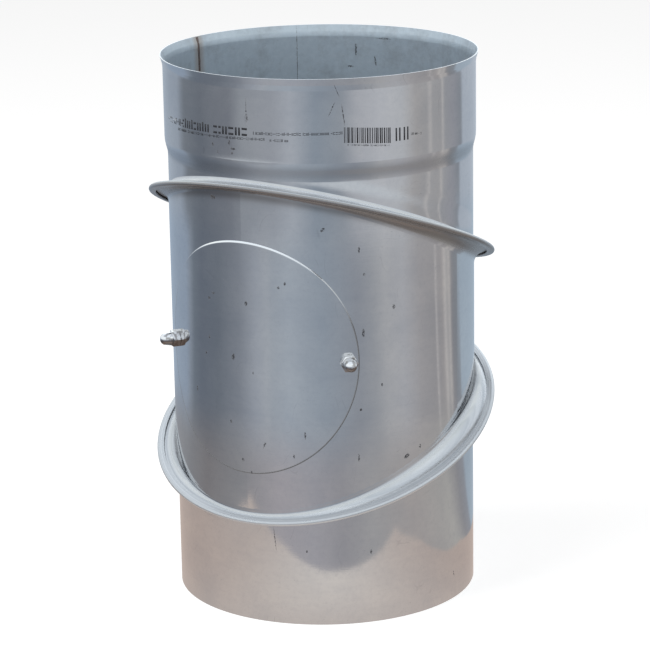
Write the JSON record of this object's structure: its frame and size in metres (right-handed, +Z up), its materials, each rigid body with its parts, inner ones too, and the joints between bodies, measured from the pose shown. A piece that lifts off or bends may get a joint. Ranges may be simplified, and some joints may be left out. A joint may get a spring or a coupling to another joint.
{
  "type": "stove pipe elbow",
  "caption": "Adjustable stove pipe elbow of straight sheet segments joined by tilted turning lock seams, with a socket, a spigot and a round bolted cleanout cover.",
  "frame": {"origin": "centre of the spigot's bottom edge, on the flue's axis", "axes": "+Z up along the straight flue, from the spigot to the socket; the cleanout cover is on the -Y side; +X is to the right of a viewer who faces the cover"},
  "size_m": [0.2304, 0.2132, 0.358],
  "materials": {
    "sheet": "satin mill-finish stainless sheet",
    "stud": "plain steel",
    "cap_nut": "bright polished steel"
  },
  "bodies": {
    "lower": {"lower_segment": "sheet"},
    "middle": {"middle_segment": "sheet", "access_cover": "sheet", "left_stud": "stud", "right_stud": "stud", "left_cap_nut": "cap_nut", "right_cap_nut": "cap_nut"},
    "upper": {"upper_segment": "sheet"}
  },
  "joints": [
    {"name": "lower_swivel", "type": "hinge", "parent": "lower", "child": "middle", "pos_m": [0, 0, 0.112], "axis": [0, -0.3827, 0.9239], "continuous": true},
    {"name": "upper_swivel", "type": "hinge", "parent": "middle", "child": "upper", "pos_m": [0, 0, 0.246], "axis": [0, 0.3827, 0.9239], "continuous": true}
  ]
}
